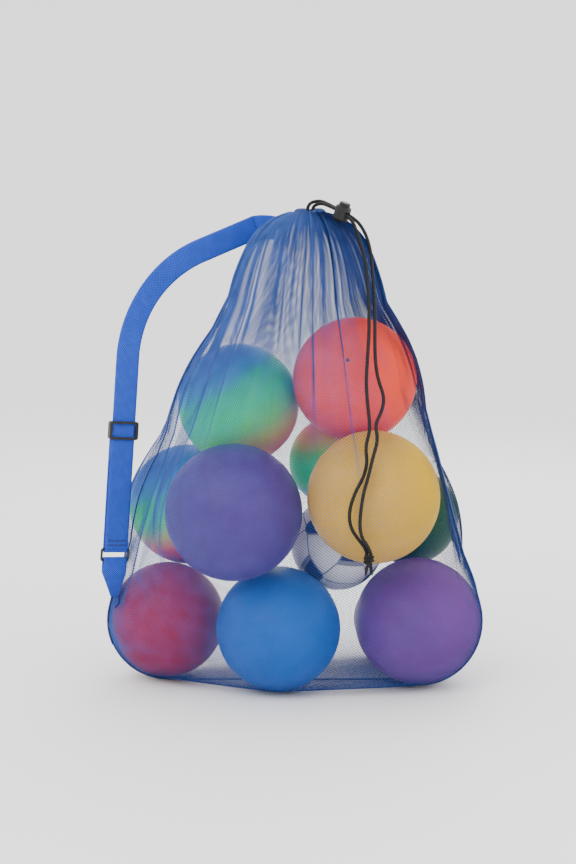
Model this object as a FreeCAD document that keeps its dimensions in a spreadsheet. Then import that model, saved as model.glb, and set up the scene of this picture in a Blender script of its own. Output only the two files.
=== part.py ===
import FreeCAD, Part
import math
import os
import re

# Drawstring mesh bag, filled with sports balls and standing on its base.
# Frame: X to the right, Y to the back, Z up. The origin is under the bag's middle, on the floor. Millimetres.

V = FreeCAD.Vector
doc = FreeCAD.newDocument("mesh_ball_bag")

# ---------------------------------------------------------------- driving dimensions

SIZES = {
    "net_gap": 2.5,  # clear space between the balls and the net
    "net_wall": 1.5,  # the net's bulk thickness
    "seam_width": 9,
    "seam_proud": 2,
    "seam_y": 20,  # the plane in which front and back panels are sewn together
    "corner_height": 60,  # where a side seam turns into the bottom seam
    "ball_wall": 3,
    "valve_radius": 3,
    "valve_length": 9,
    "valve_clearance": 0.1,
    "shoulder_x": 22,  # the bag's rounded shoulder under its mouth
    "shoulder_y": -5,
    "shoulder_z": 660,
    "shoulder_radius": 103,
    "mouth_x": 25,
    "mouth_y": -5,
    "mouth_top": 768,
    "hem_radius": 29,
    "hem_depth": 20,
    "hem_bore": 7,
    "hem_round": 4,
    "tunnel_height": 14,  # from the hem's top down to the cord's tunnel
    "tunnel_ring": 17,
    "tunnel_radius": 3.3,
    "eyelet_radius": 9,
    "cord_radius": 2.75,
    "web_width": 38,
    "web_thick": 1.8,
    "web_gap": 0.3,
    "foot_x": -282,  # the strap's fold through its ring
    "foot_y": -56,
    "foot_z": 231,
    "strap_yaw": 25.5,
    "strap_tilt": 4.4,
    "arch_corner": 427,  # from the foot up to where the two straight runs would meet
    "arch_tangent": 123,
    "arch_slope": 25.7,
    "arch_reach": 105,
    "glide_height": 190,
    "glide_wide": 47.5,
    "glide_tall": 29,
    "glide_window": 21,
    "glide_bar": 3.2,
    "glide_pin": 1.2,
    "glide_round": 4,
    "fold_length": 48,
    "ring_wide": 44.5,
    "ring_tall": 18,
    "ring_wire": 2,
    "ring_round": 2.6,
    "return_back": 9.1,  # how far behind the strap's front face the returning run lies
    "tab_straight": 38,
    "tab_tip_width": 10,
    "tack_width": 30,
    "tack_tall": 1.6,
    "tack_proud": 0.4,
    "lock_radius": 12.5,
    "lock_above": 10,
    "lock_below": 13,
    "lock_round": 3.5,
    "lock_bore": 9,
    "lock_floor": 1.5,
    "slot_wide": 12.8,
    "slot_tall": 6.4,
    "button_radius": 8.7,
    "button_above": 16,
    "button_below": 4.7,
    "button_slot_low": 3.1,
    "button_slot_high": 8.2,
    "button_round": 2.5,
    "spring_radius": 5.5,
    "spring_wire": 0.5,
    "spring_pitch": 1.6,
    "spring_turns": 1.5,
    "knot_radius": 8,
    "knot_tall": 14,
    "knot_end": 16,
}

# Each ball: centre, radius, and the yaw and pitch that turn its valve away from straight ahead.
BALLS = {
    "coral_ball": (97, -8, 498, 99, -9, 22),
    "rainbow_ball_upper": (-90, 37, 454, 98, 150, 10),
    "rainbow_ball_left": (-176, 100, 280, 100, 200, -15),
    "purple_ball_front": (-94, -100, 298, 107, 120, 30),
    "yellow_ball": (123, -112, 324, 103, 170, 20),
    "rainbow_ball_back": (67, 125, 349, 75, 160, 5),
    "soccer_ball": (71, 32, 225, 76, 190, 25),
    "red_ball": (-209, 36, 98, 94, 140, 35),
    "blue_ball": (-25, -53, 103, 99, 175, -20),
    "purple_ball_right": (201, -13, 106, 102, 215, 15),
    "violet_ball": (171, 153, 72, 68, 180, 30),
    "green_ball": (196, 128, 255, 82, 165, -10),
}

# Where the strap's tab is sewn to the bag.
TAB_POINT = V(-289, -26, 149)

# The two ends of the drawstring, from the hem's eyelet through the cord lock to the knot.
TAIL_LEFT = [
    V(29.2, -22.2, 762),
    V(29, -22.5, 770),
    V(37, -28, 775),
    V(49, -33, 775),
    V(89, -66, 753),
    V(98, -71, 727),
    V(108, -79, 696),
    V(112, -95, 663),
    V(114, -112.5, 627),
    V(114, -135.5, 583),
    V(111, -153.5, 545),
    V(108, -170.5, 507),
    V(110, -182.5, 474),
    V(114, -195.5, 439),
    V(106, -204.5, 413),
    V(109, -211.5, 391),
    V(103, -215.5, 368),
    V(90, -222.5, 347),
    V(81, -226.5, 318),
    V(84, -227, 294),
    V(97, -223, 275),
    V(107, -215, 262),
    V(109, -212, 252),
]
TAIL_RIGHT = [
    V(20.8, -22.2, 762),
    V(21, -21, 771),
    V(28, -18, 778),
    V(41, -20, 780),
    V(53, -28, 775),
    V(93, -61, 753),
    V(108, -62, 735),
    V(118, -66, 708),
    V(121, -83, 671),
    V(123, -107.5, 628),
    V(123, -131.5, 585),
    V(122, -151.5, 543),
    V(126, -163.5, 511),
    V(136, -172.5, 484),
    V(131, -184.5, 463),
    V(121, -193.5, 446),
    V(125, -202.5, 423),
    V(117, -214.5, 399),
    V(110, -222.5, 371),
    V(102, -229.5, 345),
    V(97, -231.5, 307),
    V(99, -231, 282),
    V(111, -222, 265),
    V(115, -212, 252),
]
LOCK_RUN = 3  # the run of the left end, counted from its start, that the cord lock sits on
KNOT_TOP = V(112, -212, 249.9)


def fill_sheet():
    """Writes every driving dimension to the spreadsheet, one row each."""
    cells = doc.addObject("Spreadsheet::Sheet", "Sizes")
    values = dict(SIZES)
    for name, (x, y, z, radius, yaw, pitch) in BALLS.items():
        values.update({name + "_x": x, name + "_y": y, name + "_z": z, name + "_radius": radius})
        values.update({name + "_yaw": yaw, name + "_pitch": pitch})
    for row, (alias, value) in enumerate(values.items(), 1):
        cells.set(f"A{row}", alias)
        cells.set(f"B{row}", str(value))
        cells.setAlias(f"B{row}", alias)
    doc.recompute()
    return cells


sheet = fill_sheet()


def size(alias):
    return float(getattr(sheet, alias))


# ---------------------------------------------------------------- helpers

parts = {}


def cell(text):
    """An expression in which each word is a cell of the sheet."""
    return re.sub(r"[a-z]\w*", r"Sizes.\g<0>", text)


def bind(obj, **expressions):
    for prop, text in expressions.items():
        obj.setExpression(prop.replace("__", "."), cell(text))
    return obj


def at(obj, x="0", y="0", z="0"):
    """Places an object by expressions."""
    return bind(obj, Placement__Base__x=x, Placement__Base__y=y, Placement__Base__z=z)


def primitive(kind, name, **expressions):
    return bind(doc.addObject("Part::" + kind, name), **expressions)


def cut(name, base, tool):
    obj = doc.addObject("Part::Cut", name)
    obj.Base = base
    obj.Tool = tool
    return obj


def fuse(name, shapes):
    obj = doc.addObject("Part::MultiFuse", name)
    obj.Shapes = shapes
    return obj


def fillet(name, base, radius, wanted):
    """Rounds the edges of base for which wanted(edge) is true."""
    doc.recompute()
    obj = doc.addObject("Part::Fillet", name)
    obj.Base = base
    obj.Edges = [(i, radius, radius) for i, edge in enumerate(base.Shape.Edges, 1) if wanted(edge)]
    return obj


def feature(name, shape):
    obj = doc.addObject("Part::Feature", name)
    obj.Shape = shape
    return obj


def keep(obj, label, placement=None):
    """Names a finished sub-part and puts it in its place."""
    obj.Label = label
    if placement is not None:
        obj.Placement = placement
    parts[label] = obj
    return obj


def turn(axis, degrees):
    return FreeCAD.Rotation(axis, degrees)


# ---------------------------------------------------------------- the balls


def ball_place(name):
    yaw = turn(V(0, 0, 1), size(name + "_yaw"))
    pitch = turn(V(1, 0, 0), -size(name + "_pitch"))
    centre = V(size(name + "_x"), size(name + "_y"), size(name + "_z"))
    return FreeCAD.Placement(centre, yaw.multiply(pitch))


def valve_cylinder(name, label, radius):
    """A cylinder from just inside the ball's surface towards its centre, on the valve's axis."""
    obj = primitive("Cylinder", label, Radius=radius, Height="valve_length + 1")
    start = FreeCAD.Placement(V(0, -size(name + "_radius") - 1, 0), turn(V(1, 0, 0), -90))
    obj.Placement = start
    return obj


def ball(name):
    """A hollow ball with a hole for its valve, which faces its local -Y."""
    outer = primitive("Sphere", name + "_outer", Radius=name + "_radius")
    inner = primitive("Sphere", name + "_inner", Radius=name + "_radius - ball_wall")
    hole = valve_cylinder(name, name + "_hole", "valve_radius + valve_clearance")
    shell = cut(name + "_shell", outer, inner)
    return keep(cut(name, shell, hole), name, ball_place(name))


def ball_valves():
    """One inflation valve for each ball, set in flush with the ball's skin."""
    valves = []
    for name in BALLS:
        obj = primitive("Cylinder", name + "_valve", Radius="valve_radius", Height="valve_length")
        local = FreeCAD.Placement(V(0, -size(name + "_radius") + 0.2, 0), turn(V(1, 0, 0), -90))
        obj.Placement = ball_place(name).multiply(local)
        valves.append(obj)
    group = doc.addObject("Part::Compound", "ball_valves")
    group.Links = valves
    return keep(group, "ball_valves")


# ---------------------------------------------------------------- the net

OUTLINE_STEPS = 48
HEADING_STEPS = 144
TILT_STEPS = 100
LOW_LEVELS = (0, 0.008, 0.026, 0.058, 0.105, 0.17, 0.24, 0.3, 0.35, 0.4, 0.45)
HIGH_LEVELS = (0.53, 0.62, 0.71, 0.79, 0.86, 0.92, 0.96, 0.985, 1)
END_INSET = 0.6  # the first and last sections are taken this far inside, where they aren't a point


def wrapped_spheres():
    """The balls and the rounded shoulder that the net is stretched over."""
    spheres = [(V(size(n + "_x"), size(n + "_y"), size(n + "_z")), size(n + "_radius")) for n in BALLS]
    spheres.append((V(size("shoulder_x"), size("shoulder_y"), size("shoulder_z")), size("shoulder_radius")))
    return spheres


def reach(spheres, grow):
    """How far the wrap reaches in each direction: rows by tilt, columns by heading."""
    table = []
    for i in range(1, TILT_STEPS):
        tilt = math.pi * (i / TILT_STEPS - 0.5)
        row = []
        for j in range(HEADING_STEPS):
            heading = 2 * math.pi * j / HEADING_STEPS
            flat = math.cos(tilt)
            out = V(flat * math.cos(heading), flat * math.sin(heading), math.sin(tilt))
            row.append(max(out.dot(centre) + radius for centre, radius in spheres) + grow)
        table.append((tilt, row))
    return table


def section(table, height):
    """The closed outline of the stretched wrap at one height."""
    half_planes = []
    for j in range(HEADING_STEPS):
        span = min((row[j] - height * math.sin(tilt)) / math.cos(tilt) for tilt, row in table)
        half_planes.append((2 * math.pi * j / HEADING_STEPS, span))
    share = height / size("shoulder_z")
    middle = V(size("shoulder_x") * share, 20 + (size("shoulder_y") - 20) * share, height)
    points = []
    for j in range(OUTLINE_STEPS):
        angle = 2 * math.pi * j / OUTLINE_STEPS
        nearest = []
        for heading, span in half_planes:
            facing = math.cos(heading - angle)
            if facing > 0.2:
                offset = middle.x * math.cos(heading) + middle.y * math.sin(heading)
                nearest.append((span - offset) / facing)
        radius = min(nearest)
        points.append(middle + V(radius * math.cos(angle), radius * math.sin(angle), 0))
    curve = Part.BSplineCurve()
    curve.interpolate(points, PeriodicFlag=True)
    return Part.Wire([curve.toShape()])


def wrap(grow):
    """The solid inside a skin stretched over the balls and the shoulder, grown outwards."""
    spheres = wrapped_spheres()
    table = reach(spheres, grow)
    bottom = size("net_gap") + size("net_wall") - grow
    top = size("shoulder_z") + size("shoulder_radius") + grow
    wires = []
    for level in LOW_LEVELS + HIGH_LEVELS:
        height = bottom + level * (top - bottom)
        inside = min(max(height, bottom + END_INSET), top - END_INSET)
        wire = section(table, inside)
        wire.translate(V(0, 0, height - inside))
        wires.append(wire)
    return Part.makeLoft(wires, True, False)


def slab(low, high):
    corner = V(low[0], low[1], low[2])
    return Part.makeBox(high[0] - low[0], high[1] - low[1], high[2] - low[2], corner)


def net():
    """Front and back panels, the seams that join them, and the webbing patches sewn on them."""
    wide = 500
    tall = 900
    gap = size("net_gap")
    wall = size("net_wall")
    inner = wrap(gap)
    outer = wrap(gap + wall)
    proud = wrap(gap + wall + size("seam_proud"))
    mouth = Part.makeCylinder(size("hem_radius") + 0.3, 120, V(size("mouth_x"), size("mouth_y"), 700))
    skin = outer.cut(inner).cut(mouth)
    front_edge = size("seam_y") - size("seam_width") / 2
    back_edge = size("seam_y") + size("seam_width") / 2
    corner = size("corner_height")
    seam_zone = slab((-wide, front_edge, -5), (wide, back_edge, tall))
    seam = proud.cut(inner).cut(mouth).common(seam_zone)
    front = skin.common(slab((-wide, -wide, -5), (wide, front_edge, tall)))
    keep(feature("front_panel", front), "front_panel")
    keep(feature("back_panel", skin.common(slab((-wide, back_edge, -5), (wide, wide, tall)))), "back_panel")
    left = seam.common(slab((-wide, -wide, corner), (size("mouth_x"), wide, tall)))
    right = seam.common(slab((size("mouth_x"), -wide, corner), (wide, wide, tall)))
    bottom = skin.common(seam_zone).common(slab((-wide, -wide, -5), (wide, wide, corner)))
    keep(feature("side_seam_left", left), "side_seam_left")
    keep(feature("side_seam_right", right), "side_seam_right")
    keep(feature("bottom_seam", bottom), "bottom_seam")
    layer = proud.cut(outer).cut(mouth).cut(seam_zone)
    top_patch = Part.makeBox(75, 30, size("web_width"), V(-70, 24, 715))
    keep(feature("strap_top_patch", layer.common(top_patch)), "strap_top_patch")
    low_patch = Part.makeBox(60, 34, 44, V(-310, -20, 122))
    keep(feature("strap_corner_patch", layer.common(low_patch)), "strap_corner_patch")


# ---------------------------------------------------------------- the gathered mouth


def hem():
    """The gathered hem: a bunched ring with the throat, the cord's tunnel and its eyelet."""
    ring = primitive("Cylinder", "hem_ring", Radius="hem_radius", Height="hem_depth")
    near_top = size("hem_depth") - 0.1
    rounded = fillet("hem_rounded", ring, size("hem_round"), lambda e: e.BoundBox.ZMin > near_top)
    bore = primitive("Cylinder", "hem_throat", Radius="hem_bore", Height="hem_depth + 2")
    at(bore, z="-1")
    tunnel = primitive("Torus", "hem_tunnel", Radius1="tunnel_ring", Radius2="tunnel_radius")
    at(tunnel, z="hem_depth - tunnel_height")
    eyelet = primitive("Cylinder", "hem_eyelet", Radius="eyelet_radius", Height="hem_depth")
    at(eyelet, y="-17.2", z="hem_depth - tunnel_height - tunnel_radius - 0.6")
    obj = cut("drawstring_hem", rounded, fuse("hem_hollows", [bore, tunnel, eyelet]))
    base = V(size("mouth_x"), size("mouth_y"), size("mouth_top") - size("hem_depth"))
    return keep(obj, "drawstring_hem", FreeCAD.Placement(base, FreeCAD.Rotation()))


def sweep(wire, radius, start, direction):
    """A round rod along a wire, with its volume compared with section times length."""
    ring = Part.Wire([Part.makeCircle(radius, start, direction)])
    solid = wire.makePipeShell([ring], True, True)
    wanted = math.pi * radius**2 * wire.Length
    if abs(solid.Volume - wanted) > 0.02 * wanted:
        raise RuntimeError(f"swept volume {solid.Volume:.0f} is not {wanted:.0f}")
    return solid


def drawstring_loop():
    """The part of the cord that lies in the hem: a ring whose two ends turn up at the eyelet."""
    ring = size("tunnel_ring")
    bend = 5
    low = size("mouth_top") - size("tunnel_height")
    centre = V(size("mouth_x"), size("mouth_y"), low)
    ends = []
    for side in (1, -1):
        angle = math.radians(-90 + 30 * side)
        start = centre + V(ring * math.cos(angle), ring * math.sin(angle), 0)
        along = V(side * math.sin(angle), -side * math.cos(angle), 0)
        rise = start + along * bend + V(0, 0, bend)
        middle = start + along * bend * math.sin(math.pi / 4) + V(0, 0, bend * (1 - math.cos(math.pi / 4)))
        ends.append((start, middle, rise, V(rise.x, rise.y, TAIL_LEFT[0].z)))
    right, left = ends
    edges = [
        Part.LineSegment(right[3], right[2]).toShape(),
        Part.Arc(right[2], right[1], right[0]).toShape(),
        Part.Arc(right[0], centre + V(0, ring, 0), left[0]).toShape(),
        Part.Arc(left[0], left[1], left[2]).toShape(),
        Part.LineSegment(left[2], left[3]).toShape(),
    ]
    solid = sweep(Part.Wire(edges), size("cord_radius"), right[3], V(0, 0, -1))
    return keep(feature("drawstring_loop", solid), "drawstring_loop")


def cord_wire(points, name):
    """Straight runs joined by tangent arcs, each as large as its two runs allow."""
    edges = []
    last = points[0]
    smallest = None
    for before, corner, after in zip(points, points[1:], points[2:]):
        back = (before - corner).normalize()
        ahead = (after - corner).normalize()
        trim = 0.45 * min(before.distanceToPoint(corner), corner.distanceToPoint(after))
        half_turn = (math.pi - back.getAngle(ahead)) / 2
        radius = trim / math.tan(half_turn)
        smallest = radius if smallest is None else min(smallest, radius)
        begin = corner + back * trim
        end = corner + ahead * trim
        inward = (back + ahead).normalize()
        middle = corner + inward * (radius / math.cos(half_turn) - radius)
        edges.append(Part.LineSegment(last, begin).toShape())
        edges.append(Part.Arc(begin, middle, end).toShape())
        last = end
    edges.append(Part.LineSegment(last, points[-1]).toShape())
    wire = Part.Wire(edges)
    print(f"{name}: length {wire.Length:.0f} mm, smallest radius {smallest:.1f} mm")
    return wire


def cord_tail(label, points):
    """One free end of the drawstring."""
    solid = sweep(cord_wire(points, label), size("cord_radius"), points[0], points[1] - points[0])
    return keep(feature(label, solid), label)


def end_knot():
    """The overhand knot that joins both ends, with two short ends below it."""
    profile = [
        V(0, 0, 0),
        V(size("knot_radius") - 1.5, 0, 0),
        V(size("knot_radius"), 0, -size("knot_tall") * 0.45),
        V(size("knot_radius") - 2, 0, -size("knot_tall")),
        V(0, 0, -size("knot_tall")),
    ]
    body = Part.Face(Part.makePolygon(profile + [profile[0]])).revolve(V(0, 0, 0), V(0, 0, 1), 360)
    for side in (-1, 1):
        foot = V(side * (size("cord_radius") + 0.2), 0, -size("knot_tall") - size("knot_end"))
        body = body.fuse(Part.makeCylinder(size("cord_radius"), size("knot_end") + 3, foot))
    return keep(feature("end_knot", body), "end_knot", FreeCAD.Placement(KNOT_TOP, FreeCAD.Rotation()))


# ---------------------------------------------------------------- the cord lock


def lock_place():
    """The cord lock's frame: X along the cords, Y across them, Z along the button's travel."""
    begin = TAIL_LEFT[LOCK_RUN]
    along = (TAIL_LEFT[LOCK_RUN + 1] - begin).normalize()
    across = (TAIL_RIGHT[LOCK_RUN + 1] - begin).normalize()
    up = along.cross(across).normalize()
    middle = begin + along * 34 + (TAIL_RIGHT[LOCK_RUN + 1] - begin) * 0.5
    return FreeCAD.Placement(middle, FreeCAD.Rotation(along, up.cross(along), up, "ZXY"))


def cord_lock_body(place):
    barrel = primitive("Cylinder", "lock_barrel", Radius="lock_radius", Height="lock_above + lock_below")
    at(barrel, z="-lock_below")
    rounded = fillet("lock_rounded", barrel, size("lock_round"), lambda e: e.BoundBox.ZLength < 0.1)
    bore = primitive("Cylinder", "lock_well", Radius="lock_bore", Height="lock_above + lock_below")
    at(bore, z="lock_floor - lock_below")
    slot = primitive("Box", "lock_slot", Length="4 * lock_radius", Width="slot_wide", Height="slot_tall")
    at(slot, x="-2 * lock_radius", y="-slot_wide / 2", z="-slot_tall / 2")
    return keep(cut("cord_lock_body", rounded, fuse("lock_hollows", [bore, slot])), "cord_lock_body", place)


def cord_lock_button(place):
    plunger = primitive(
        "Cylinder", "button_blank", Radius="button_radius", Height="button_above + button_below",
    )
    at(plunger, z="-button_below")
    rounded = fillet("button_rounded", plunger, size("button_round"), lambda e: e.BoundBox.ZMin > 10)
    slot = primitive(
        "Box", "button_slot", Length="4 * lock_radius", Width="slot_wide",
        Height="button_slot_low + button_slot_high",
    )
    at(slot, x="-2 * lock_radius", y="-slot_wide / 2", z="-button_slot_low")
    return keep(cut("cord_lock_button", rounded, slot), "cord_lock_button", place)


def cord_lock_spring(place):
    """The coil under the button, on the well's floor, at the length it has when the button is pressed."""
    radius = size("spring_radius")
    pitch = size("spring_pitch")
    floor = size("lock_floor") - size("lock_below") + size("spring_wire") + 0.1
    coil = Part.makeHelix(pitch, pitch * size("spring_turns"), radius)
    ahead = V(0, 2 * math.pi * radius, pitch)
    solid = sweep(Part.Wire(coil.Edges), size("spring_wire"), V(radius, 0, 0), ahead)
    lift = FreeCAD.Placement(V(0, 0, floor), FreeCAD.Rotation())
    return keep(feature("cord_lock_spring", solid), "cord_lock_spring", place.multiply(lift))


# ---------------------------------------------------------------- the shoulder strap


def strap_place():
    """The strap's frame: X across the webbing, Y to its back, Z up its straight run from the fold."""
    yaw = turn(V(0, 0, 1), size("strap_yaw"))
    tilt = turn(V(0, 1, 0), size("strap_tilt"))
    foot = V(size("foot_x"), size("foot_y"), size("foot_z"))
    return FreeCAD.Placement(foot, yaw.multiply(tilt))


def shoulder_strap(place):
    """A flat run up from the fold, an arch, and a straight run to the mouth."""
    half = size("web_width") / 2
    slope = math.radians(size("arch_slope"))
    tangent = size("arch_tangent")
    radius = tangent / math.tan((math.pi / 2 - slope) / 2)
    low = size("arch_corner") - tangent
    centre = V(radius, 0, low)
    along = V(math.cos(slope), 0, math.sin(slope))
    outward = V(-math.sin(slope), 0, math.cos(slope))
    high = V(0, 0, size("arch_corner")) + along * tangent
    half_way = (math.pi / 2 - slope) / 2
    middle = V(-math.cos(half_way), 0, math.sin(half_way))
    tip = high + along * size("arch_reach")
    edges = [
        Part.LineSegment(V(-half, 0, 0), V(-half, 0, low)),
        Part.Arc(V(-half, 0, low), centre + middle * (radius + half), high + outward * half),
        Part.LineSegment(high + outward * half, tip + outward * half),
        Part.LineSegment(tip + outward * half, tip - outward * half),
        Part.LineSegment(tip - outward * half, high - outward * half),
        Part.Arc(high - outward * half, centre + middle * (radius - half), V(half, 0, low)),
        Part.LineSegment(V(half, 0, low), V(half, 0, 0)),
        Part.LineSegment(V(half, 0, 0), V(-half, 0, 0)),
    ]
    face = Part.Face(Part.Wire([edge.toShape() for edge in edges]))
    return keep(feature("shoulder_strap", face.extrude(V(0, size("web_thick"), 0))), "shoulder_strap", place)


def cross_bar(label, radius, width):
    """A cylinder across the webbing, centred on X."""
    obj = primitive("Cylinder", label, Radius=radius, Height=width)
    obj.Placement = FreeCAD.Placement(V(-size("web_width") / 2, 0, 0), turn(V(0, 1, 0), 90))
    return obj


def web_fold(label, up):
    """Half a turn of webbing round a bar, open on the side that up points away from."""
    outer = cross_bar(label + "_outside", "( return_back + web_thick ) / 2", "web_width")
    inner = cross_bar(label + "_inside", "( return_back - web_thick ) / 2", "web_width")
    tube = cut(label + "_tube", outer, inner)
    half_box = primitive(
        "Box", label + "_half", Length="2 * web_width", Width="4 * return_back", Height="return_back",
    )
    at(half_box, x="-web_width", y="-2 * return_back", z="-return_back" if up else "0")
    return cut(label, tube, half_box)


def strap_return(place):
    """The fold round the ring's upper bar and the run that goes back up behind the strap."""
    middle = (size("return_back") + size("web_thick")) / 2
    fold = web_fold("return_fold", False)
    run = primitive("Box", "return_run", Length="web_width", Width="web_thick", Height="glide_height - 8")
    at(run, x="-web_width / 2", y="( return_back - web_thick ) / 2", z="0")
    obj = fuse("strap_return", [fold, run])
    shift = FreeCAD.Placement(V(0, middle, 0), FreeCAD.Rotation())
    return keep(obj, "strap_return", place.multiply(shift))


def level_rectangle(centre, half_width, half_depth):
    corners = [V(-half_width, -half_depth, 0), V(half_width, -half_depth, 0)]
    corners += [V(half_width, half_depth, 0), V(-half_width, half_depth, 0)]
    return Part.makePolygon([centre + corner for corner in corners + corners[:1]])


def anchor_tab(place):
    """The short webbing loop on the ring's lower bar, which narrows towards its seam on the bag."""
    middle = (size("return_back") + size("web_thick")) / 2
    half = size("web_width") / 2
    thick = size("web_thick")
    low = -size("ring_tall")
    outer = (size("return_back") + thick) / 2
    inner = outer - thick
    tube = Part.makeCylinder(outer, 2 * half, V(-half, middle, low), V(1, 0, 0))
    tube = tube.cut(Part.makeCylinder(inner, 2 * half, V(-half, middle, low), V(1, 0, 0)))
    under = Part.makeBox(4 * half, 4 * outer, 2 * outer, V(-2 * half, middle - 2 * outer, low - 2 * outer))
    tube = tube.cut(under)
    join = -size("tab_straight")
    depths = (middle - outer, middle + inner)
    legs = [Part.makeBox(2 * half, thick, low - join, V(-half, y, join)) for y in depths]
    deck = Part.makeBox(2 * half, 2 * outer, thick, V(-half, middle - outer, join - thick))
    tip = place.inverse().multVec(TAB_POINT)
    upper = level_rectangle(V(0, middle, join - thick), half, thick)
    lower = level_rectangle(tip, size("tab_tip_width") / 2, thick)
    neck = Part.makeLoft([upper, lower], True, True)
    solid = tube.multiFuse(legs + [deck, neck]).removeSplitter()
    return keep(feature("anchor_tab", solid), "anchor_tab", place)


def strap_bartacks(place):
    """Two rows of dense stitching across the fold at the ring."""
    rows = []
    for number, height in enumerate(("6", "13")):
        row = primitive(
            "Box", f"bartack_{number}", Length="tack_width", Width="tack_proud", Height="tack_tall",
        )
        at(row, x="-tack_width / 2", y="-tack_proud", z=height)
        rows.append(row)
    group = doc.addObject("Part::Compound", "strap_bartacks")
    group.Links = rows
    return keep(group, "strap_bartacks", place)


def strap_ring(place):
    """A rectangular wire ring with rounded corners, upper bar in the strap, lower bar in the tab."""
    half = size("ring_wide") / 2
    tall = size("ring_tall")
    bend = size("ring_round")
    corners = [V(half, 0, 0), V(half, 0, -tall), V(-half, 0, -tall), V(-half, 0, 0)]
    edges = []
    for number, corner in enumerate(corners):
        before = corners[number - 1]
        after = corners[(number + 1) % 4]
        begin = corner + (before - corner).normalize() * bend
        end = corner + (after - corner).normalize() * bend
        middle = corner + (begin + end - corner * 2) * (1 - math.sqrt(0.5))
        edges.append(Part.Arc(begin, middle, end).toShape())
        edges.append(Part.LineSegment(end, after + (corner - after).normalize() * bend).toShape())
    wire = Part.Wire(edges)
    first = edges[0].Vertexes[0].Point
    solid = sweep(wire, size("ring_wire"), first, V(1, 0, 0))
    shift = FreeCAD.Placement(V(0, (size("return_back") + size("web_thick")) / 2, 0), FreeCAD.Rotation())
    return keep(feature("strap_ring", solid), "strap_ring", place.multiply(shift))


def glide_place(place):
    return place.multiply(FreeCAD.Placement(V(0, 0, size("glide_height")), FreeCAD.Rotation()))


def pin_depth():
    """How far behind the strap's front face the adjuster's centre bar lies."""
    return 2 * size("web_thick") + 2 * size("web_gap") + size("glide_pin")


def tri_glide(place):
    """The adjuster: a frame in front of the strap, with a centre bar behind it between two rails."""
    deep = "2 * web_thick + 3 * web_gap + 2 * glide_pin + glide_bar"
    blank = primitive("Box", "glide_blank", Length="glide_wide", Width=deep, Height="glide_tall")
    at(blank, x="-glide_wide / 2", y="-web_gap - glide_bar", z="-glide_tall / 2")
    rounded = fillet("glide_rounded", blank, size("glide_round"), lambda e: e.BoundBox.YLength > 5)
    window = primitive("Box", "glide_window", Length="web_width + 0.8", Width="60", Height="glide_window")
    at(window, x="-web_width / 2 - 0.4", y="-30", z="-glide_window / 2")
    channel = primitive("Box", "glide_channel", Length="web_width + 0.8", Width="60", Height="2 * glide_tall")
    at(channel, x="-web_width / 2 - 0.4", y="-web_gap", z="-glide_tall")
    frame = cut("glide_frame", rounded, fuse("glide_hollows", [window, channel]))
    pin = primitive("Cylinder", "glide_centre_bar", Radius="glide_pin", Height="web_width + 3")
    pin.Placement = FreeCAD.Placement(V(-size("web_width") / 2 - 1.5, pin_depth(), 0), turn(V(0, 1, 0), 90))
    return keep(fuse("tri_glide", [frame, pin]), "tri_glide", glide_place(place))


def strap_end_fold(place):
    """The strap's sewn end: folded round the adjuster's centre bar, doubled and stitched below it."""
    around = cross_bar("fold_outside", "glide_pin + web_gap + web_thick", "web_width")
    tail = primitive("Box", "fold_tail", Length="web_width", Width="2 * web_thick", Height="fold_length")
    at(tail, x="-web_width / 2", y="-web_thick", z="-fold_length")
    hollow = cross_bar("fold_inside", "glide_pin + web_gap", "web_width")
    obj = cut("strap_end_fold", fuse("fold_solid", [around, tail]), hollow)
    shift = FreeCAD.Placement(V(0, pin_depth(), 0), FreeCAD.Rotation())
    return keep(obj, "strap_end_fold", glide_place(place).multiply(shift))


# ---------------------------------------------------------------- assembly


def build():
    for name in BALLS:
        ball(name)
    ball_valves()
    net()
    hem()
    drawstring_loop()
    cord_tail("cord_tail_left", TAIL_LEFT)
    cord_tail("cord_tail_right", TAIL_RIGHT)
    end_knot()
    lock = lock_place()
    cord_lock_body(lock)
    cord_lock_button(lock)
    cord_lock_spring(lock)
    strap = strap_place()
    shoulder_strap(strap)
    strap_return(strap)
    anchor_tab(strap)
    strap_bartacks(strap)
    strap_ring(strap)
    tri_glide(strap)
    strap_end_fold(strap)
    doc.recompute()


def check():
    for obj in doc.Objects:
        if "Invalid" in obj.State or "Error" in obj.State:
            raise RuntimeError(f"{obj.Name} is {obj.State}")
    bad = [n for n, o in parts.items() if o.Shape.isNull() or not o.Shape.isValid() or not o.Shape.Solids]
    if bad:
        raise RuntimeError(f"not valid solids: {bad}")


def write():
    os.makedirs("parts", exist_ok=True)
    for label, obj in parts.items():
        obj.Shape.exportStep(os.path.join("parts", label + ".step"))


build()
check()
write()
print(len(parts), "sub-parts written")
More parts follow.
